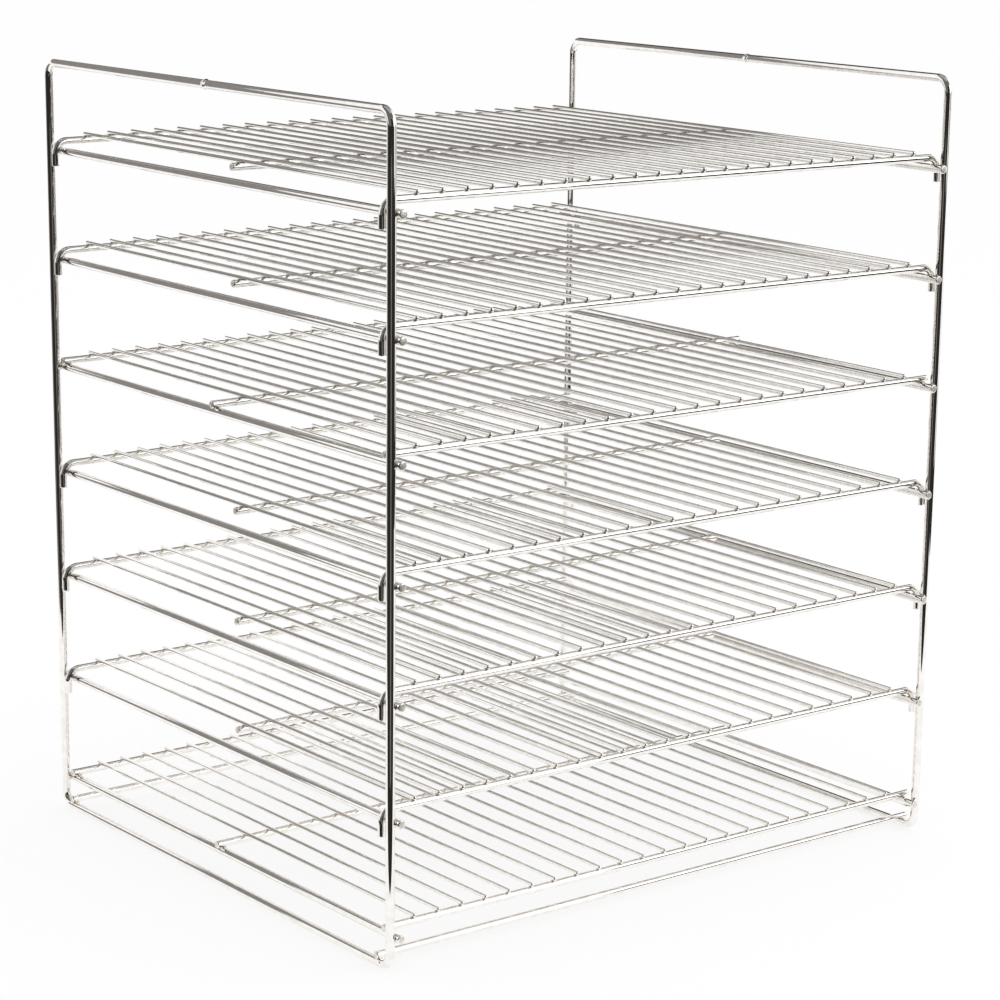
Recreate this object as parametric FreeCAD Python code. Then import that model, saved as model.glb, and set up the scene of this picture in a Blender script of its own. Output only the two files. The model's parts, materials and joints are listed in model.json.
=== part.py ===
"""Seven-tier wire display rack: two ladder-like side hoops that carry wire shelves. All sizes are in millimetres.

X runs from the left hoop to the right one, Y from the open front to the back, and Z up from the floor.
Tiers are counted from the top. Most shelves hang by hooks and lift off, and two are welded in as braces.
Wire is drawn as a many-sided bar, with its diameter across the flats.
"""
import FreeCAD, Part
import math
import os

Vector = FreeCAD.Vector

# Overall size, over the outside of the wire of the side hoops
rack_width = 472.0
rack_depth = 414.0
rack_height = 543.0

# Wire diameters, and the sides that each kind of wire is drawn with
hoop_wire = 6.0
rung_wire = 5.8
cross_wire = 5.3
deck_wire = 3.0
frame_sides = 12
deck_sides = 8

# Side hoops
hoop_bend = 9.0  # radius of the corner bends at the middle of the wire
seam_width = 2.4  # butt weld in the middle of the top bar, along the bar
seam_height = 0.5  # how far that weld stands proud of the bar

# Tiers
tier_count = 7
fixed_tiers = (3, tier_count)
lowest_rung_height = 21.8  # floor to the axis of the lowest rung
top_rung_drop = 64.0  # top of the hoop to the axis of the top rung
rung_overhang = 5.2  # rung ends past the axes of the posts

# Bottom stretchers
stretcher_bend_gap = 0.4  # corner bends of the hoop to the side of the stretcher
stretcher_overhang = 2.8  # stretcher ends past the axes of the hoops

# Shelves
hook_bend = 8.6  # radius of the hook bends at the middle of the wire, wider than the rung so that it finds its seat
hook_clearance = 0.3  # hook bends to the rungs they hang on
hook_leg_gap = 0.7  # hook legs to the outer sides of the rungs, more than hook_clearance
hook_post_gap = 2.4  # hooks to the posts in front of and behind them
hook_tail = 7.2  # how far a hook reaches below its rung
fixed_wire_overhang = 5.0  # ends of welded cross wires past the axes of the rungs
deck_wire_count = 23
deck_side_gap = 15.3  # rungs to the axis of the outermost deck wire
deck_overhang = 2.6  # deck wire ends past the axes of the front and rear cross wires
middle_wire_overhang = 5.6  # middle wire ends past the outermost deck wires

# How far crossing wires sink into each other where they are welded
frame_weld_depth = 0.5
deck_weld_depth = 0.3

# Places that follow from the sizes
hoop_x = (rack_width - hoop_wire) / 2
post_y = (rack_depth - hoop_wire) / 2
bottom_bar_z = hoop_wire / 2
top_bar_z = rack_height - hoop_wire / 2
rung_x = hoop_x - (hoop_wire + rung_wire) / 2 + frame_weld_depth
tier_pitch = (rack_height - top_rung_drop - lowest_rung_height) / (tier_count - 1)
stretcher_y = post_y - hoop_bend - cross_wire / 2 - stretcher_bend_gap
stretcher_z = bottom_bar_z + (hoop_wire + cross_wire) / 2 - frame_weld_depth
hook_leg_x = rung_x + (rung_wire + cross_wire) / 2 + hook_leg_gap
hook_side_play = rung_x - (hook_leg_x - hook_bend)  # axis of the rung to the centre of the bend, sideways
hook_seat_reach = hook_bend - (rung_wire + cross_wire) / 2 - hook_clearance  # the same, measured straight
hook_rise = hook_bend - math.sqrt(hook_seat_reach ** 2 - hook_side_play ** 2)  # axis of the rung to the cross wire
cross_y = post_y - (hoop_wire + cross_wire) / 2 - hook_post_gap
deck_x = rung_x - rung_wire / 2 - deck_side_gap
deck_pitch = 2 * deck_x / (deck_wire_count - 1)

SIDES = {"left": -1, "right": 1}
ENDS = {"front": -1, "rear": 1}
QUARTER_TURN = 90


def rung_z(tier):
    """Height of the rungs of a tier."""
    return rack_height - top_rung_drop - (tier - 1) * tier_pitch


def cross_wire_z(tier):
    """Height of the cross wires of a tier: sunk into the rungs by a weld, or held clear of them by the hook bends."""
    if tier in fixed_tiers:
        return rung_z(tier) + (rung_wire + cross_wire) / 2 - frame_weld_depth
    return rung_z(tier) + hook_rise


def section(diameter, sides, centre, along, across):
    """The cut face of a wire that runs along one direction, with a flat towards the direction across it."""
    corner_radius = diameter / 2 / math.cos(math.pi / sides)
    upward = along.cross(across)
    rim = []
    for number in range(sides):
        angle = 2 * math.pi * (number + 0.5) / sides
        rim.append(centre + (across * math.cos(angle) + upward * math.sin(angle)) * corner_radius)
    return Part.Face(Part.makePolygon(rim + rim[:1]))


def wire_across(y, z, reach):
    """A straight cross wire from side to side."""
    face = section(cross_wire, frame_sides, Vector(-reach, y, z), Vector(1, 0, 0), Vector(0, 1, 0))
    return face.extrude(Vector(2 * reach, 0, 0))


def wire_front_to_rear(diameter, sides, x, z, reach):
    """A straight wire from the front to the back."""
    face = section(diameter, sides, Vector(x, -reach, z), Vector(0, 1, 0), Vector(1, 0, 0))
    return face.extrude(Vector(0, 2 * reach, 0))


def bent_wire(diameter, corners, bend, closed):
    """Wire along straight runs from corner to corner in one plane, with a quarter bend at each square corner."""
    runs = list(zip(corners, corners[1:]))
    if closed:
        runs.append((corners[-1], corners[0]))
    directions = [(end - start).normalize() for start, end in runs]
    normal = directions[0].cross(directions[1])
    pieces = []
    for number, (start, end) in enumerate(runs):
        along = directions[number]
        bend_before = closed or number > 0
        bend_after = closed or number < len(runs) - 1
        run_start = start + along * bend if bend_before else start
        run_end = end - along * bend if bend_after else end
        pieces.append(section(diameter, frame_sides, run_start, along, normal).extrude(run_end - run_start))
        if bend_after:
            centre = run_end + normal.cross(along) * bend
            face = section(diameter, frame_sides, run_end, along, normal)
            pieces.append(face.revolve(centre, normal, QUARTER_TURN))
    return pieces[0].multiFuse(pieces[1:]).removeSplitter()


def hoop(side):
    """A closed side hoop with rounded corners and the raised weld that closes its top bar."""
    x = SIDES[side] * hoop_x
    corners = [
        Vector(x, -post_y, bottom_bar_z),
        Vector(x, post_y, bottom_bar_z),
        Vector(x, post_y, top_bar_z),
        Vector(x, -post_y, top_bar_z),
    ]
    seam = wire_front_to_rear(hoop_wire + 2 * seam_height, frame_sides, x, top_bar_z, seam_width / 2)
    return bent_wire(hoop_wire, corners, hoop_bend, closed=True).fuse(seam)


def rung(side, tier):
    """A ladder rung, welded across the inner faces of a hoop's two posts."""
    return wire_front_to_rear(rung_wire, frame_sides, SIDES[side] * rung_x, rung_z(tier), post_y + rung_overhang)


def stretcher(end):
    """A bottom stretcher, welded on top of the bottom bars."""
    return wire_across(ENDS[end] * stretcher_y, stretcher_z, hoop_x + stretcher_overhang)


def hooked_wire(y, tier):
    """A cross wire whose ends bend down over the rungs into hooks."""
    z = cross_wire_z(tier)
    foot_z = rung_z(tier) - rung_wire / 2 - hook_tail
    corners = [
        Vector(-hook_leg_x, y, foot_z),
        Vector(-hook_leg_x, y, z),
        Vector(hook_leg_x, y, z),
        Vector(hook_leg_x, y, foot_z),
    ]
    return bent_wire(cross_wire, corners, hook_bend, closed=False)


def end_wire(end, tier):
    """The front or rear cross wire of a shelf: hooked on a loose shelf, straight on a welded one."""
    y = ENDS[end] * cross_y
    if tier in fixed_tiers:
        return wire_across(y, cross_wire_z(tier), rung_x + fixed_wire_overhang)
    return hooked_wire(y, tier)


def middle_wire(tier):
    """The middle cross wire, which reaches the rungs only on a welded shelf."""
    reach = rung_x + fixed_wire_overhang if tier in fixed_tiers else deck_x + middle_wire_overhang
    return wire_across(0, cross_wire_z(tier), reach)


def deck_wires(tier):
    """The thin wires that goods stand on, welded on top of the cross wires."""
    z = cross_wire_z(tier) + (cross_wire + deck_wire) / 2 - deck_weld_depth
    places = [-deck_x + number * deck_pitch for number in range(deck_wire_count)]
    return Part.Compound([wire_front_to_rear(deck_wire, deck_sides, x, z, cross_y + deck_overhang) for x in places])


def all_pieces():
    """Every piece of the rack under its node name."""
    pieces = {}
    tiers = range(1, tier_count + 1)
    for side in SIDES:
        pieces[f"{side}_hoop"] = hoop(side)
        for tier in tiers:
            pieces[f"{side}_rung_{tier}"] = rung(side, tier)
    for end in ENDS:
        pieces[f"{end}_stretcher"] = stretcher(end)
    for tier in tiers:
        for end in ENDS:
            pieces[f"shelf_{tier}_{end}_wire"] = end_wire(end, tier)
        pieces[f"shelf_{tier}_middle_wire"] = middle_wire(tier)
        pieces[f"shelf_{tier}_deck_wires"] = deck_wires(tier)
    return pieces


os.makedirs("parts", exist_ok=True)
for name, shape in all_pieces().items():
    shape.exportStep(f"parts/{name}.step")
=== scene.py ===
"""Looks of the wire display rack: bright plated wire with its bends, cut ends and welds, in a white studio.

Places are metres in the rack's own frame: X from the left hoop to the right one, Y from the front to the
back and Z up from the floor. Sizes that are written as real millimetres are turned into metres by MM.
"""
import json
import logging
import math
import random
from dataclasses import dataclass, field
from enum import Enum
from functools import cache
from typing import Any

import bmesh
import bpy
from mathutils import Matrix, Vector

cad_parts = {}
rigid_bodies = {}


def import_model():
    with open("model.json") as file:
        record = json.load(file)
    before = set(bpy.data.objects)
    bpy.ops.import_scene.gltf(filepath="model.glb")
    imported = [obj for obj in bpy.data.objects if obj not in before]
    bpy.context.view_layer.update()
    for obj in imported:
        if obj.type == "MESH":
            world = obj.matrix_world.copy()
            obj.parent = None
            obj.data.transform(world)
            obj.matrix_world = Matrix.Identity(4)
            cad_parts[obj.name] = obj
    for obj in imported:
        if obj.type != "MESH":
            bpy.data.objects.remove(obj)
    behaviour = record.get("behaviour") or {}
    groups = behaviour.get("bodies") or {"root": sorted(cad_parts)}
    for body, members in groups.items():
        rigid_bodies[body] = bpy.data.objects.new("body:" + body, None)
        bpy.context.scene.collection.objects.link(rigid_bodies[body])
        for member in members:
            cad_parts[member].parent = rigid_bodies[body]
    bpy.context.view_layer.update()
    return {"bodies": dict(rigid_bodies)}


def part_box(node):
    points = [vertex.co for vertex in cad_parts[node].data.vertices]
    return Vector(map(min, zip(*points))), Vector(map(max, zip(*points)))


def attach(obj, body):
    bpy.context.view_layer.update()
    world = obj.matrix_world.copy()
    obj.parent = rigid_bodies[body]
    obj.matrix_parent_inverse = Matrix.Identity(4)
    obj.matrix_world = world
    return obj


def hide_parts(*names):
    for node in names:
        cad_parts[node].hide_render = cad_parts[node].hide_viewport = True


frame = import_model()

LOG = logging.getLogger("display_rack")
MM = 0.001
FRAME_BODY = "frame"
TIERS = range(1, 8)

X = Vector((1, 0, 0))
Y = Vector((0, 1, 0))
Z = Vector((0, 0, 1))


class Side(Enum):
    """The two side hoops, with their sign along X."""

    LEFT = ("left", -1)
    RIGHT = ("right", 1)

    @property
    def word(self) -> str:
        """The side's name in node names."""
        return self.value[0]

    @property
    def sign(self) -> int:
        """The side's direction along X."""
        return self.value[1]


class End(Enum):
    """The front and the rear of the rack."""

    FRONT = "front"
    REAR = "rear"


class Hold(Enum):
    """How a shelf is held by the rungs."""

    HOOKED = "hooked"
    WELDED = "welded"


def srgb(hex_colour: str) -> tuple[float, float, float, float]:
    """Turn an sRGB hex colour into linear light.

    Args:
        hex_colour: Six hex digits, such as "F0E8DE".

    Returns:
        Red, green, blue and alpha.
    """
    channels = [int(hex_colour[place:place + 2], 16) / 255 for place in (0, 2, 4)]
    linear = [c / 12.92 if c <= 0.04045 else ((c + 0.055) / 1.055) ** 2.4 for c in channels]
    return (linear[0], linear[1], linear[2], 1.0)


def add_node(tree: bpy.types.NodeTree, kind: str, settings: dict[str, Any] | None = None,
             links: dict[str, bpy.types.NodeSocket] | None = None) -> bpy.types.Node:
    """Add a node to a tree.

    Args:
        tree: The node tree of a material or of the world.
        kind: The node's type name.
        settings: Values by the name of an input, or of a property where no input has that name.
        links: Sockets that feed the inputs of those names.

    Returns:
        The new node.
    """
    node = tree.nodes.new(kind)
    for name, value in (settings or {}).items():
        if name in node.inputs:
            node.inputs[name].default_value = value
        else:
            setattr(node, name, value)
    for name, socket in (links or {}).items():
        tree.links.new(socket, node.inputs[name])
    return node


def new_tree(holder: bpy.types.Material | bpy.types.World) -> bpy.types.NodeTree:
    """Give a material or the world an empty node tree.

    Args:
        holder: The material or world.

    Returns:
        Its node tree.
    """
    holder.use_nodes = True
    holder.node_tree.nodes.clear()
    return holder.node_tree


# How fine the patches and ripples of the plating are drawn, and where along the noise of the patches it turns
# from dull to bright and from rough to smooth
PATCH_DETAIL = 3.0
RIPPLE_DETAIL = 1.0
DULL_BELOW, BRIGHT_ABOVE = 0.35, 0.6
ROUGH_BELOW, SMOOTH_ABOVE = 0.3, 0.7


@dataclass(frozen=True)
class PlatedSteel:
    """Bright nickel plating over steel: a faintly warm mirror, mottled where the plating is uneven."""

    name: str
    bright: str
    dull: str
    smoothest: float
    dullest: float
    patch_mm: float
    ripple_mm: float
    ripple_depth_mm: float

    def material(self) -> bpy.types.Material:
        """Make the material, or find it if it was made before.

        Returns:
            The material.
        """
        found = bpy.data.materials.get(self.name)
        if found is not None:
            return found
        made = bpy.data.materials.new(self.name)
        tree = new_tree(made)
        place = add_node(tree, "ShaderNodeTexCoord").outputs["Object"]
        patches = add_node(tree, "ShaderNodeTexNoise", {
            "Scale": 1 / (self.patch_mm * MM),
            "Detail": PATCH_DETAIL,
        }, {"Vector": place})
        ripples = add_node(tree, "ShaderNodeTexNoise", {
            "Scale": 1 / (self.ripple_mm * MM),
            "Detail": RIPPLE_DETAIL,
        }, {"Vector": place})
        colour = add_node(tree, "ShaderNodeValToRGB", links={"Fac": patches.outputs["Fac"]})
        dull_stop, bright_stop = colour.color_ramp.elements
        dull_stop.position = DULL_BELOW
        dull_stop.color = srgb(self.dull)
        bright_stop.position = BRIGHT_ABOVE
        bright_stop.color = srgb(self.bright)
        gloss = add_node(tree, "ShaderNodeMapRange", {
            "From Min": ROUGH_BELOW,
            "From Max": SMOOTH_ABOVE,
            "To Min": self.dullest,
            "To Max": self.smoothest,
        }, {"Value": patches.outputs["Fac"]})
        bump = add_node(tree, "ShaderNodeBump", {"Distance": self.ripple_depth_mm * MM},
                        {"Height": ripples.outputs["Fac"]})
        shader = add_node(tree, "ShaderNodeBsdfPrincipled", {"Metallic": 1.0}, {
            "Base Color": colour.outputs["Color"],
            "Roughness": gloss.outputs["Result"],
            "Normal": bump.outputs["Normal"],
        })
        add_node(tree, "ShaderNodeOutputMaterial", links={"Surface": shader.outputs["BSDF"]})
        return made


# Drawn wire takes the plating evenly, so it mirrors the studio in clean long bands
DRAWN_WIRE = PlatedSteel("bright_nickel_on_drawn_wire", bright="FCFAF7", dull="F5F1EC", smoothest=0.03,
                         dullest=0.06, patch_mm=6.0, ripple_mm=22.0, ripple_depth_mm=0.02)
# Squeezed weld metal is lumpy under the plating, so it glints and looks a little browner
WELD_METAL = PlatedSteel("bright_nickel_on_weld_metal", bright="F4EADB", dull="CBB89E", smoothest=0.15,
                         dullest=0.34, patch_mm=1.4, ripple_mm=1.1, ripple_depth_mm=0.15)
# Tumbled and plated cut ends bulge a little and keep the grain of the cut, so they mirror softly
SHEARED_END = PlatedSteel("nickel_on_sheared_wire_end", bright="F2EDE6", dull="D2C9BD", smoothest=0.3,
                          dullest=0.45, patch_mm=1.6, ripple_mm=1.8, ripple_depth_mm=0.08)
FINISHES = (DRAWN_WIRE, WELD_METAL, SHEARED_END)


# Rings in the bulging face of a cut end, as shares of its rim
CUT_FACE_RINGS = (0.75, 0.45)
# How unevenly the welds come out: their swell, and the lobes around their edge as a share of their reach
WELD_SWELL = (0.9, 1.12)
WELD_LOBES = 3
LOBE_DEPTH = 0.1


@dataclass(frozen=True)
class Station:
    """One ring of a swept wire: its middle, the way the wire runs there, and its radius."""

    point: Vector
    along: Vector
    radius: float


@dataclass
class WireMesh:
    """The mesh of one piece while its wires and welds are added to it."""

    mesh: bmesh.types.BMesh = field(default_factory=bmesh.new)

    def ring(self, station: Station, across: Vector, sides: int) -> list[bmesh.types.BMVert]:
        """Add the points of one ring.

        Args:
            station: Where the ring is.
            across: A direction square to the wire, the same at every ring of one sweep.
            sides: How many points the ring has.

        Returns:
            The ring's points in order.
        """
        other = station.along.cross(across)
        points = []
        for number in range(sides):
            angle = 2 * math.pi * number / sides
            offset = across * math.cos(angle) + other * math.sin(angle)
            points.append(self.mesh.verts.new(station.point + offset * station.radius))
        return points

    def sweep(self, stations: list[Station], across: Vector, sides: int, closed: bool = False) -> None:
        """Add a tube through a row of rings.

        Args:
            stations: The rings from one end to the other.
            across: A direction square to the wire all along it.
            sides: How many sides the tube has.
            closed: Whether the last ring joins the first. Otherwise both ends are capped as sheared ends.
        """
        rings = [self.ring(station, across, sides) for station in stations]
        pairs = list(zip(rings, rings[1:]))
        if closed:
            pairs.append((rings[-1], rings[0]))
        for here, there in pairs:
            for number in range(sides):
                after = (number + 1) % sides
                face = self.mesh.faces.new((here[number], here[after], there[after], there[number]))
                face.material_index = FINISHES.index(DRAWN_WIRE)
                face.smooth = True
        if not closed:
            self.cap(rings[0][::-1], stations[0].point - stations[0].along * SIZES.cut_bulge_mm * MM)
            self.cap(rings[-1], stations[-1].point + stations[-1].along * SIZES.cut_bulge_mm * MM)

    def cap(self, ring: list[bmesh.types.BMVert], tip: Vector) -> None:
        """Close one end of a tube with a slightly bulging cut face.

        Args:
            ring: The points of the last ring, in the order that faces outward.
            tip: Where the bulge ends.
        """
        base = sum((point.co for point in ring), Vector()) / len(ring)
        rings = [ring]
        for share in CUT_FACE_RINGS:
            rise = (tip - base) * (1 - share * share)
            rings.append([self.mesh.verts.new(base + (point.co - base) * share + rise) for point in ring])
        middle = self.mesh.verts.new(tip)
        faces = []
        for number in range(len(ring)):
            after = (number + 1) % len(ring)
            for outer, inner in zip(rings, rings[1:]):
                faces.append((outer[number], outer[after], inner[after], inner[number]))
            faces.append((rings[-1][number], rings[-1][after], middle))
        for points in faces:
            face = self.mesh.faces.new(points)
            face.material_index = FINISHES.index(SHEARED_END)
            face.smooth = True

    def weld(self, centre: Vector, one: Vector, other: Vector, height: float, lumps: random.Random) -> None:
        """Add the squeezed-out metal where two wires cross, as a lumpy lens that fills their corners.

        Args:
            centre: Where the two wires touch.
            one: Half the weld's length along the first wire.
            other: Half its length along the second wire.
            height: Half its thickness from wire to wire.
            lumps: The source of its uneven outline.
        """
        around, rows = 12, 6
        normal = one.cross(other).normalized() * height
        phase = lumps.uniform(0, 2 * math.pi)
        swell = lumps.uniform(*WELD_SWELL)
        poles = [self.mesh.verts.new(centre + normal), self.mesh.verts.new(centre - normal)]
        rings = []
        for row in range(1, rows):
            tilt = math.pi * row / rows
            ring = []
            for number in range(around):
                turn = 2 * math.pi * number / around
                reach = swell * math.sin(tilt) * (1 + LOBE_DEPTH * math.sin(WELD_LOBES * turn + phase))
                offset = (one * math.cos(turn) + other * math.sin(turn)) * reach + normal * math.cos(tilt)
                ring.append(self.mesh.verts.new(centre + offset))
            rings.append(ring)
        faces = []
        for number in range(around):
            after = (number + 1) % around
            faces.append((poles[0], rings[0][number], rings[0][after]))
            faces.append((poles[1], rings[-1][after], rings[-1][number]))
            for upper, lower in zip(rings, rings[1:]):
                faces.append((upper[number], lower[number], lower[after], upper[after]))
        for points in faces:
            face = self.mesh.faces.new(points)
            face.material_index = FINISHES.index(WELD_METAL)
            face.smooth = True

    def piece(self, node: str, body: str) -> bpy.types.Object:
        """Turn the mesh into the piece that stands for a node.

        Args:
            node: The node's name.
            body: The body that the piece moves with.

        Returns:
            The finished piece.
        """
        name = f"{node}_plated"
        bmesh.ops.recalc_face_normals(self.mesh, faces=self.mesh.faces)
        data = bpy.data.meshes.new(name)
        self.mesh.to_mesh(data)
        self.mesh.free()
        for finish in FINISHES:
            data.materials.append(finish.material())
        made = bpy.data.objects.new(name, data)
        bpy.context.scene.collection.objects.link(made)
        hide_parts(node)
        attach(made, body)
        return made


@dataclass(frozen=True)
class Wire:
    """One gauge of wire and how it is cut and drawn."""

    radius: float
    sides: int
    cut_round: float

    def cut_end(self, tip: Vector, inward: Vector, along: Vector) -> list[Station]:
        """Rings of a cut end whose edge is rounded by tumbling.

        Args:
            tip: The middle of the cut.
            inward: The direction from the cut into the wire.
            along: The direction of the sweep.

        Returns:
            The rings from the cut inward.
        """
        steps = 3
        bulge = SIZES.cut_bulge_mm * MM
        rings = []
        for step in range(steps + 1):
            angle = math.pi / 2 * step / steps
            depth = bulge + self.cut_round * (1 - math.cos(angle))
            shrink = self.cut_round * (1 - math.sin(angle))
            rings.append(Station(tip + inward * depth, along, self.radius - shrink))
        rings.append(Station(rings[-1].point + inward * SIZES.shading_ring_mm * MM, along, self.radius))
        return rings

    def straight(self, start: Vector, end: Vector) -> list[Station]:
        """Rings of a straight length that is cut at both ends.

        Args:
            start: The middle of the first cut.
            end: The middle of the last cut.

        Returns:
            The rings in order.
        """
        along = (end - start).normalized()
        return self.cut_end(start, along, along) + self.cut_end(end, -along, along)[::-1]

    def bends(self, points: list[Vector], bend: float) -> list[Station]:
        """Rings of the round bends of a wire that turns squarely at each inner point of its route.

        Args:
            points: The route from end to end, all in one plane.
            bend: The radius of the bends at the middle of the wire.

        Returns:
            The rings of the bends in order.
        """
        turn_steps = 14
        margin = SIZES.shading_ring_mm * MM
        ways = [(end - start).normalized() for start, end in zip(points, points[1:])]
        rings = []
        for corner, along, onward in zip(points[1:], ways, ways[1:]):
            normal = along.cross(onward)
            centre = corner + (onward - along) * bend
            rings.append(Station(corner - along * (bend + margin), along, self.radius))
            for step in range(turn_steps + 1):
                turn = Matrix.Rotation(math.pi / 2 * step / turn_steps, 3, normal)
                rings.append(Station(centre - turn @ onward * bend, turn @ along, self.radius))
            rings.append(Station(corner + onward * (bend + margin), onward, self.radius))
        return rings

    def hooked(self, points: list[Vector], bend: float) -> list[Station]:
        """Rings of a bent wire that is cut at both ends.

        Args:
            points: The route from cut to cut.
            bend: The radius of the bends at the middle of the wire.

        Returns:
            The rings in order.
        """
        first = (points[1] - points[0]).normalized()
        last = (points[-1] - points[-2]).normalized()
        start = self.cut_end(points[0], first, first)
        end = self.cut_end(points[-1], -last, last)
        return start + self.bends(points, bend) + end[::-1]


@dataclass(frozen=True)
class RackSizes:
    """Sizes that the solids' boxes don't give by themselves."""

    hoop_wire_mm: float = 6.0
    hoop_bend_mm: float = 9.0
    deck_wire_count: int = 23
    hook_bend_mm: float = 8.6
    frame_wire_sides: int = 28
    deck_wire_sides: int = 16
    cut_round_mm: float = 0.5
    deck_cut_round_mm: float = 0.9
    cut_bulge_mm: float = 0.12
    shading_ring_mm: float = 0.6  # a ring so close to each round keeps straight lengths shaded as straight
    seam_reach_mm: float = 2.4  # from the middle of the butt weld to the foot of its bead
    weld_reach_mm: float = 2.8
    weld_height_mm: float = 1.3
    deck_weld_reach_mm: float = 1.9
    deck_weld_height_mm: float = 0.9


SIZES = RackSizes()


@dataclass(frozen=True)
class NodeBox:
    """Where a node of the frame lies, from its lowest corner to its highest one."""

    node: str
    low: Vector
    high: Vector

    @property
    def middle(self) -> Vector:
        """The middle of the box."""
        return (self.low + self.high) / 2

    @property
    def size(self) -> Vector:
        """The lengths of the box along X, Y and Z."""
        return self.high - self.low


@cache
def box_of(node: str) -> NodeBox:
    """Look up where a node lies, once for each node.

    Args:
        node: The node's name.

    Returns:
        Its box.
    """
    low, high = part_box(node)
    return NodeBox(node, low, high)


def frame_wire(radius: float) -> Wire:
    """The gauge of a hoop, a rung, a stretcher or a cross wire.

    Args:
        radius: Half the wire's diameter.

    Returns:
        The wire.
    """
    return Wire(radius, SIZES.frame_wire_sides, SIZES.cut_round_mm * MM)


@dataclass
class SideHoop:
    """A closed side hoop, whose ends meet in a butt weld in the middle of its top bar."""

    side: Side

    def build(self) -> bpy.types.Object:
        """Make the hoop.

        Returns:
            The piece.
        """
        node = f"{self.side.word}_hoop"
        box = box_of(node)
        radius = SIZES.hoop_wire_mm * MM / 2
        bead = box.size.x / 2 - radius
        x = box.middle.x
        post_y = box.high.y - radius
        low_z = box.low.z + radius
        high_z = box.high.z - bead - radius
        seam = Vector((x, 0, high_z))
        route = [
            seam,
            Vector((x, -post_y, high_z)),
            Vector((x, -post_y, low_z)),
            Vector((x, post_y, low_z)),
            Vector((x, post_y, high_z)),
            seam,
        ]
        wire = frame_wire(radius)
        stations = wire.bends(route, SIZES.hoop_bend_mm * MM) + self.seam(seam, radius, bead)
        wires = WireMesh()
        wires.sweep(stations, X, wire.sides, closed=True)
        return wires.piece(node, FRAME_BODY)

    def seam(self, middle: Vector, radius: float, bead: float) -> list[Station]:
        """Rings of the raised butt weld.

        Args:
            middle: The middle of the top bar.
            radius: The wire's radius.
            bead: How far the weld stands proud.

        Returns:
            The rings from the rear to the front.
        """
        reach = SIZES.seam_reach_mm * MM
        foot = reach + SIZES.shading_ring_mm * MM
        steps = 8
        rings = [Station(middle + Y * foot, -Y, radius)]
        for step in range(-steps, steps + 1):
            share = step / steps
            rise = bead / 2 * (1 + math.cos(math.pi * share))
            rings.append(Station(middle - Y * reach * share, -Y, radius + rise))
        rings.append(Station(middle - Y * foot, -Y, radius))
        return rings


@dataclass
class Rung:
    """A ladder rung, welded across the inner faces of a hoop's two posts."""

    side: Side
    tier: int

    def build(self) -> bpy.types.Object:
        """Make the rung with the welds at its ends.

        Returns:
            The piece.
        """
        node = f"{self.side.word}_rung_{self.tier}"
        box = box_of(node)
        radius = box.size.z / 2
        start = Vector((box.middle.x, box.low.y, box.middle.z))
        end = Vector((box.middle.x, box.high.y, box.middle.z))
        wires = WireMesh()
        wire = frame_wire(radius)
        wires.sweep(wire.straight(start, end), Z, wire.sides)
        lumps = random.Random(node)
        post_y = box_of(f"{self.side.word}_hoop").high.y - SIZES.hoop_wire_mm * MM / 2
        reach = SIZES.weld_reach_mm * MM
        for y in (-post_y, post_y):
            touch = Vector((box.middle.x + self.side.sign * radius, y, box.middle.z))
            wires.weld(touch, Y * reach, Z * reach, SIZES.weld_height_mm * MM, lumps)
        return wires.piece(node, FRAME_BODY)


@dataclass
class Stretcher:
    """A bottom stretcher, welded on top of the hoops' bottom bars."""

    end: End

    def build(self) -> bpy.types.Object:
        """Make the stretcher with its welds.

        Returns:
            The piece.
        """
        node = f"{self.end.value}_stretcher"
        box = box_of(node)
        wires = WireMesh()
        wire = frame_wire(box.size.z / 2)
        start = Vector((box.low.x, box.middle.y, box.middle.z))
        end = Vector((box.high.x, box.middle.y, box.middle.z))
        wires.sweep(wire.straight(start, end), Z, wire.sides)
        lumps = random.Random(node)
        reach = SIZES.weld_reach_mm * MM
        for side in Side:
            touch = Vector((box_of(f"{side.word}_hoop").middle.x, box.middle.y, box.low.z))
            wires.weld(touch, X * reach, Y * reach, SIZES.weld_height_mm * MM, lumps)
        return wires.piece(node, FRAME_BODY)


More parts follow.
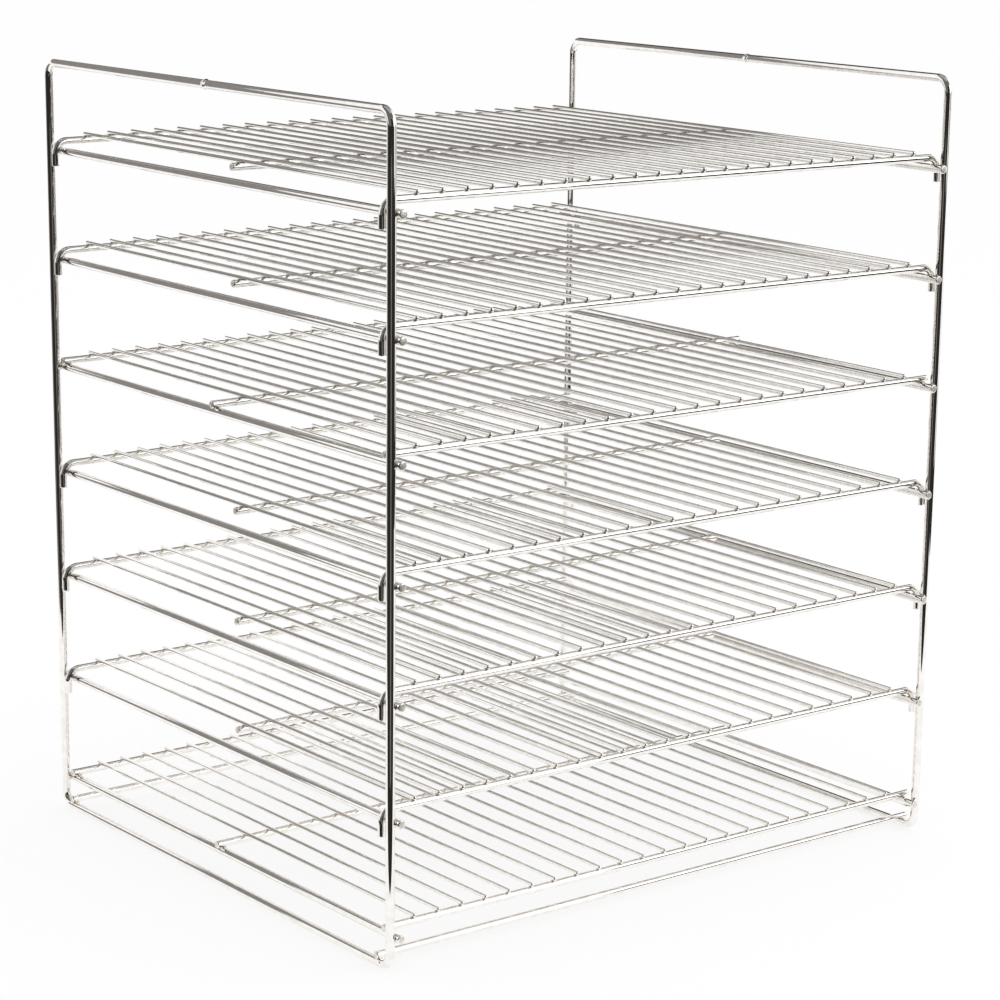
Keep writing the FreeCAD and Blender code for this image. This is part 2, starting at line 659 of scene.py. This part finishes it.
@dataclass
class Shelf:
    """One tier: three cross wires from side to side, and the thin deck wires welded on top of them."""

    tier: int

    @property
    def body(self) -> str:
        """The body that the shelf moves with."""
        own = f"shelf_{self.tier}"
        return own if own in frame["bodies"] else FRAME_BODY

    @property
    def hold(self) -> Hold:
        """How the rungs hold the shelf: a loose one hangs by hooks."""
        return Hold.WELDED if self.body == FRAME_BODY else Hold.HOOKED

    def box(self, piece: str) -> NodeBox:
        """Where one piece of the shelf lies.

        Args:
            piece: The end of the node's name.

        Returns:
            The node's box.
        """
        return box_of(f"shelf_{self.tier}_{piece}")

    def build(self) -> list[bpy.types.Object]:
        """Make the cross wires and the deck.

        Returns:
            The shelf's pieces.
        """
        pieces = [self.cross_wire("middle_wire", Hold.WELDED)]
        for end in End:
            pieces.append(self.cross_wire(f"{end.value}_wire", self.hold))
        pieces.append(self.deck())
        return pieces

    def cross_wire(self, name: str, hold: Hold) -> bpy.types.Object:
        """Make one cross wire, straight or with hooks at its ends.

        Args:
            name: The end of the node's name.
            hold: Whether its ends are hooks or straight.

        Returns:
            The piece.
        """
        box = self.box(name)
        radius = self.box("middle_wire").size.z / 2
        wire = frame_wire(radius)
        wires = WireMesh()
        top = box.high.z - radius
        y = box.middle.y
        if hold is Hold.HOOKED:
            leg_x = box.high.x - radius
            route = [
                Vector((-leg_x, y, box.low.z)),
                Vector((-leg_x, y, top)),
                Vector((leg_x, y, top)),
                Vector((leg_x, y, box.low.z)),
            ]
            wires.sweep(wire.hooked(route, SIZES.hook_bend_mm * MM), Y, wire.sides)
        else:
            start = Vector((box.low.x, y, top))
            end = Vector((box.high.x, y, top))
            wires.sweep(wire.straight(start, end), Y, wire.sides)
            if self.hold is Hold.WELDED:
                self.rung_welds(wires, y, box.node)
        return wires.piece(box.node, self.body)

    def rung_welds(self, wires: WireMesh, y: float, seed: str) -> None:
        """Add the welds where a cross wire lies on the rungs.

        Args:
            wires: The mesh that takes them.
            y: Where the cross wire lies.
            seed: What their uneven shape is drawn from.
        """
        lumps = random.Random(seed)
        reach = SIZES.weld_reach_mm * MM
        for side in Side:
            rung = box_of(f"{side.word}_rung_{self.tier}")
            touch = Vector((rung.middle.x, y, rung.high.z))
            wires.weld(touch, X * reach, Y * reach, SIZES.weld_height_mm * MM, lumps)

    def deck(self) -> bpy.types.Object:
        """Make the deck wires and their welds to the cross wires.

        Returns:
            The piece.
        """
        box = self.box("deck_wires")
        wire = Wire(box.size.z / 2, SIZES.deck_wire_sides, SIZES.deck_cut_round_mm * MM)
        lumps = random.Random(box.node)
        reach = SIZES.deck_weld_reach_mm * MM
        height = SIZES.deck_weld_height_mm * MM
        cross_ys = [self.box(name).middle.y for name in ("front_wire", "middle_wire", "rear_wire")]
        first = box.low.x + wire.radius
        pitch = (box.size.x - 2 * wire.radius) / (SIZES.deck_wire_count - 1)
        wires = WireMesh()
        for number in range(SIZES.deck_wire_count):
            x = first + number * pitch
            start = Vector((x, box.low.y, box.middle.z))
            end = Vector((x, box.high.y, box.middle.z))
            wires.sweep(wire.straight(start, end), Z, wire.sides)
            for y in cross_ys:
                wires.weld(Vector((x, y, box.low.z)), Y * reach, X * reach, height, lumps)
        return wires.piece(box.node, self.body)


def seen_rays(tree: bpy.types.NodeTree) -> bpy.types.NodeSocket:
    """Tell the rays of the camera, of mirrors and of glass from those that carry light.

    Args:
        tree: The node tree of the floor or the world.

    Returns:
        A socket that is 1 for a ray that shows what it meets, otherwise 0.
    """
    rays = add_node(tree, "ShaderNodeLightPath").outputs
    seen = rays["Is Camera Ray"]
    for name in ("Is Glossy Ray", "Is Transmission Ray"):
        either = add_node(tree, "ShaderNodeMath", {"operation": "MAXIMUM"})
        tree.links.new(seen, either.inputs[0])
        tree.links.new(rays[name], either.inputs[1])
        seen = either.outputs["Value"]
    return seen


@dataclass(frozen=True)
class Flag:
    """A plain card beside the set that only mirrors see: it gives bright metal its dark and light bands."""

    name: str
    corners: tuple[tuple[float, float, float], ...]
    grey: str

    def build(self) -> None:
        """Make the card."""
        data = bpy.data.meshes.new(self.name)
        data.from_pydata(self.corners, [], [tuple(range(len(self.corners)))])
        card = bpy.data.materials.new(f"{self.name}_card")
        tree = new_tree(card)
        glow = add_node(tree, "ShaderNodeEmission", {"Color": srgb(self.grey), "Strength": 1.0})
        add_node(tree, "ShaderNodeOutputMaterial", links={"Surface": glow.outputs["Emission"]})
        data.materials.append(card)
        made = bpy.data.objects.new(self.name, data)
        bpy.context.scene.collection.objects.link(made)
        made.visible_camera = False
        made.visible_diffuse = False
        made.visible_transmission = False
        made.visible_shadow = False


@dataclass(frozen=True)
class Softbox:
    """A large soft lamp that faces the rack."""

    name: str
    place: tuple[float, float, float]
    aim: tuple[float, float, float]
    width: float
    height: float
    brightness: float

    def build(self) -> None:
        """Make the lamp, with its power worked out from how bright its face is."""
        data = bpy.data.lights.new(self.name, "AREA")
        data.shape = "RECTANGLE"
        data.size = self.width
        data.size_y = self.height
        data.energy = self.brightness * math.pi * self.width * self.height
        lamp = bpy.data.objects.new(self.name, data)
        lamp.location = self.place
        lamp.rotation_euler = (Vector(self.aim) - Vector(self.place)).to_track_quat("-Z", "Y").to_euler()
        bpy.context.scene.collection.objects.link(lamp)


@dataclass(frozen=True)
class PhotoCamera:
    """The photograph's camera, with its frame taken as 1000 by 1000 pixels."""

    azimuth_deg: float = -38.56
    elevation_deg: float = 13.94
    roll_deg: float = 0.86
    distance: float = 2.1757
    right: float = 0.0411
    up: float = 0.1809
    base_height: float = 0.003
    focal_px: float = 2980.0
    centre_px: tuple[float, float] = (544.0, 565.9)
    frame_px: float = 1000.0
    sensor_mm: float = 36.0
    clip_start: float = 0.05

    def build(self) -> None:
        """Make the camera and set it as the scene's."""
        azimuth = math.radians(self.azimuth_deg)
        elevation = math.radians(self.elevation_deg)
        back = Vector((
            math.sin(azimuth) * math.cos(elevation),
            -math.cos(azimuth) * math.cos(elevation),
            math.sin(elevation),
        ))
        level_right = Vector((math.cos(azimuth), math.sin(azimuth), 0))
        level_up = back.cross(level_right)
        roll = math.radians(self.roll_deg)
        right = level_right * math.cos(roll) + level_up * math.sin(roll)
        up = level_up * math.cos(roll) - level_right * math.sin(roll)
        data = bpy.data.cameras.new("photo_camera")
        data.sensor_width = self.sensor_mm
        data.lens = self.focal_px / self.frame_px * self.sensor_mm
        data.shift_x = 0.5 - self.centre_px[0] / self.frame_px
        data.shift_y = self.centre_px[1] / self.frame_px - 0.5
        data.clip_start = self.clip_start
        camera = bpy.data.objects.new("photo_camera", data)
        turn = Matrix((right, up, back)).transposed().to_4x4()
        place = right * self.right + up * self.up + back * self.distance + Z * self.base_height
        camera.matrix_world = Matrix.Translation(place) @ turn
        bpy.context.scene.collection.objects.link(camera)
        bpy.context.scene.camera = camera


# The white table that the rack stands on, and the dim room around it
TABLE_LEFT_CORNER = (-0.78, 0.03)
TABLE_FRONT_CORNER = (0.65, -1.05)
ROOM_LEFT, ROOM_RIGHT = -8.0, 8.0
ROOM_FRONT, ROOM_BACK = -8.0, 7.0
ROOM_HEIGHT = 6.0
CEILING_STEP = 0.05  # keeps the two ceiling cards apart where they overlap
ROOM_FLOOR = 0.002  # how far the room's floor cards lie over the white floor
LEFT_FLOOR_END = (ROOM_LEFT, 5.45)
FRONT_FLOOR_END = (4.0, ROOM_FRONT)
RIGHT_FLOOR_END = (6.69, ROOM_BACK)

# A lighter path over the dark floor, which the posts mirror as a thin line along their middle
PATH_NEAR_EDGE = ((-0.356, -0.568), (-0.484, -0.472))
PATH_FAR_EDGE = ((-3.72, -3.41), (-2.28, -4.49))
PATH_HEIGHT = 2 * ROOM_FLOOR

# The inner corners of the two ceiling cards, and where the walls stop short of the room's corners
DIM_CEILING_CORNER = (0.3, 0.6)
GREY_CEILING_CORNER = (3.4, 4.8)
LEFT_WALL_END = (ROOM_LEFT, 3.0)
BACK_WALL_START = (0.5, ROOM_BACK)
FRONT_WALL_END = (0.6, ROOM_FRONT)

# Boards that stand around the table
DARK_BOARD_FOOT = ((0.95, -1.5), (2.2, -1.5))
DARK_BOARD_HEIGHT = 0.6
WHITE_BOARD_FOOT = ((1.23, -1.02), (3.05, 1.40))
WHITE_BOARD_HEIGHT = 1.5
BACKDROP_Y = 1.3
BACKDROP_OUTLINE = ((-0.92, 0), (-0.82, 0.75), (-0.5, 0.95), (4.0, 0.95), (4.0, 0))
GREY_BOARD_Y = 1.32  # close behind the backdrop
GREY_BOARD_OUTLINE = ((-1.38, 0), (-1.28, 0.45), (-1.05, 0.97), (-0.88, 1.17), (-0.79, 1.38), (-0.61, 1.51),
                      (-0.37, 1.64), (-0.045, 1.75), (0.25, 2.1), (0.25, 0))

# Colours of the set
WHITE = "FFFFFF"
GREY_BOARD = "888583"
GREY_ROOM = "666564"
DIM_CORNER = "4A4948"
DARK_FLOOR = "2A2826"
GREY_FLOOR = "706F6E"


def floor_card(name: str, grey: str, *corners: tuple[float, float], height: float = ROOM_FLOOR) -> Flag:
    """A level card, on the floor of the room or under its ceiling.

    Args:
        name: The card's name.
        grey: Its colour.
        corners: Its outline in X and Y.
        height: How high it lies.

    Returns:
        The card.
    """
    return Flag(name, tuple((x, y, height) for x, y in corners), grey)


def wall_card(name: str, grey: str, start: tuple[float, float], end: tuple[float, float],
              height: float = ROOM_HEIGHT) -> Flag:
    """A card that stands on the floor of the room.

    Args:
        name: The card's name.
        grey: Its colour.
        start: Where its foot begins, in X and Y.
        end: Where its foot ends.
        height: How tall it is.

    Returns:
        The card.
    """
    return Flag(name, ((*start, 0), (*end, 0), (*end, height), (*start, height)), grey)


def back_card(name: str, grey: str, y: float, *outline: tuple[float, float]) -> Flag:
    """A card that stands across the back of the set.

    Args:
        name: The card's name.
        grey: Its colour.
        y: How far back it stands.
        outline: Its outline in X and Z.

    Returns:
        The card.
    """
    return Flag(name, tuple((x, y, z) for x, z in outline), grey)


@dataclass(frozen=True)
class Studio:
    """A white floor under soft light, with cards for the metal to mirror: a white table in a dim room."""

    floor_reach: float = 12.0
    floor_glow: float = 0.8  # share of plain white in what the camera and mirrors see of the floor
    ambient: float = 0.95
    softboxes: tuple[Softbox, ...] = (
        Softbox("overhead_softbox", place=(0.2, 0.0, 2.4), aim=(0.0, 0.0, 0.0),
                width=2.2, height=2.2, brightness=0.25),
        Softbox("front_right_softbox", place=(1.55, -1.9, 1.0), aim=(0.0, 0.0, 0.3),
                width=1.9, height=1.7, brightness=1.3),
    )
    flags: tuple[Flag, ...] = (
        floor_card("dark_front_floor", DARK_FLOOR, TABLE_LEFT_CORNER, TABLE_FRONT_CORNER, FRONT_FLOOR_END,
                   (ROOM_LEFT, ROOM_FRONT), LEFT_FLOOR_END),
        floor_card("dark_right_floor", DARK_FLOOR, TABLE_FRONT_CORNER, RIGHT_FLOOR_END,
                   (ROOM_RIGHT, ROOM_BACK), (ROOM_RIGHT, ROOM_FRONT), FRONT_FLOOR_END),
        floor_card("grey_left_floor", GREY_FLOOR, TABLE_LEFT_CORNER, LEFT_FLOOR_END, (ROOM_LEFT, ROOM_BACK),
                   (TABLE_LEFT_CORNER[0], ROOM_BACK)),
        floor_card("grey_front_path", GREY_FLOOR, *PATH_NEAR_EDGE, *PATH_FAR_EDGE, height=PATH_HEIGHT),
        floor_card("dim_ceiling", DIM_CORNER, DIM_CEILING_CORNER, (ROOM_RIGHT, DIM_CEILING_CORNER[1]),
                   (ROOM_RIGHT, ROOM_BACK), (DIM_CEILING_CORNER[0], ROOM_BACK), height=ROOM_HEIGHT),
        floor_card("grey_ceiling", GREY_ROOM, (ROOM_LEFT, ROOM_FRONT), (GREY_CEILING_CORNER[0], ROOM_FRONT),
                   GREY_CEILING_CORNER, (ROOM_LEFT, GREY_CEILING_CORNER[1]),
                   height=ROOM_HEIGHT + CEILING_STEP),
        wall_card("dark_front_board", DARK_FLOOR, *DARK_BOARD_FOOT, DARK_BOARD_HEIGHT),
        wall_card("grey_left_wall", GREY_ROOM, (ROOM_LEFT, ROOM_FRONT), LEFT_WALL_END),
        wall_card("dim_back_wall", DIM_CORNER, BACK_WALL_START, (ROOM_RIGHT, ROOM_BACK)),
        wall_card("dark_front_wall", DARK_FLOOR, (ROOM_LEFT, ROOM_FRONT), FRONT_WALL_END),
        wall_card("white_right_board", WHITE, *WHITE_BOARD_FOOT, WHITE_BOARD_HEIGHT),
        back_card("white_backdrop", WHITE, BACKDROP_Y, *BACKDROP_OUTLINE),
        back_card("grey_board", GREY_BOARD, GREY_BOARD_Y, *GREY_BOARD_OUTLINE),
    )

    def build(self) -> None:
        """Make the floor, the light, the cards and the camera."""
        self.floor()
        self.sky()
        for lamp in self.softboxes:
            lamp.build()
        for flag in self.flags:
            flag.build()
        PhotoCamera().build()
        bpy.context.scene.view_settings.view_transform = "Standard"

    def floor(self) -> None:
        """Make the white floor."""
        reach = self.floor_reach
        data = bpy.data.meshes.new("white_floor")
        corners = [(-reach, -reach, 0), (reach, -reach, 0), (reach, reach, 0), (-reach, reach, 0)]
        data.from_pydata(corners, [], [(0, 1, 2, 3)])
        paper = bpy.data.materials.new("matte_white_paper")
        tree = new_tree(paper)
        matte = add_node(tree, "ShaderNodeBsdfDiffuse", {"Color": srgb(WHITE)})
        glow = add_node(tree, "ShaderNodeEmission", {"Color": srgb(WHITE), "Strength": 1.0})
        share = add_node(tree, "ShaderNodeMath", {"operation": "MULTIPLY"})
        share.inputs[1].default_value = self.floor_glow
        tree.links.new(seen_rays(tree), share.inputs[0])
        both = add_node(tree, "ShaderNodeMixShader", links={"Fac": share.outputs["Value"]})
        tree.links.new(matte.outputs["BSDF"], both.inputs[1])
        tree.links.new(glow.outputs["Emission"], both.inputs[2])
        add_node(tree, "ShaderNodeOutputMaterial", links={"Surface": both.outputs["Shader"]})
        data.materials.append(paper)
        made = bpy.data.objects.new("white_floor", data)
        bpy.context.scene.collection.objects.link(made)

    def sky(self) -> None:
        """Light the set evenly, and show plain white to the camera and to mirrors."""
        world = bpy.data.worlds.new("white_studio")
        tree = new_tree(world)
        seen = seen_rays(tree)
        soft = add_node(tree, "ShaderNodeBackground", {"Color": srgb(WHITE), "Strength": self.ambient})
        plain = add_node(tree, "ShaderNodeBackground", {"Color": srgb(WHITE), "Strength": 1.0})
        both = add_node(tree, "ShaderNodeMixShader", links={"Fac": seen})
        tree.links.new(soft.outputs["Background"], both.inputs[1])
        tree.links.new(plain.outputs["Background"], both.inputs[2])
        add_node(tree, "ShaderNodeOutputWorld", links={"Surface": both.outputs["Shader"]})
        bpy.context.scene.world = world


def main() -> None:
    """Build the rack's pieces in order and report each of them, then build the studio."""
    logging.basicConfig(level=logging.INFO)
    pieces = []
    for side in Side:
        pieces.append(SideHoop(side).build())
        pieces += [Rung(side, tier).build() for tier in TIERS]
    pieces += [Stretcher(end).build() for end in End]
    for tier in TIERS:
        pieces += Shelf(tier).build()
    for piece in pieces:
        LOG.info("%s has %d faces", piece.name, len(piece.data.polygons))
    Studio().build()


if __name__ == "__main__":
    main()
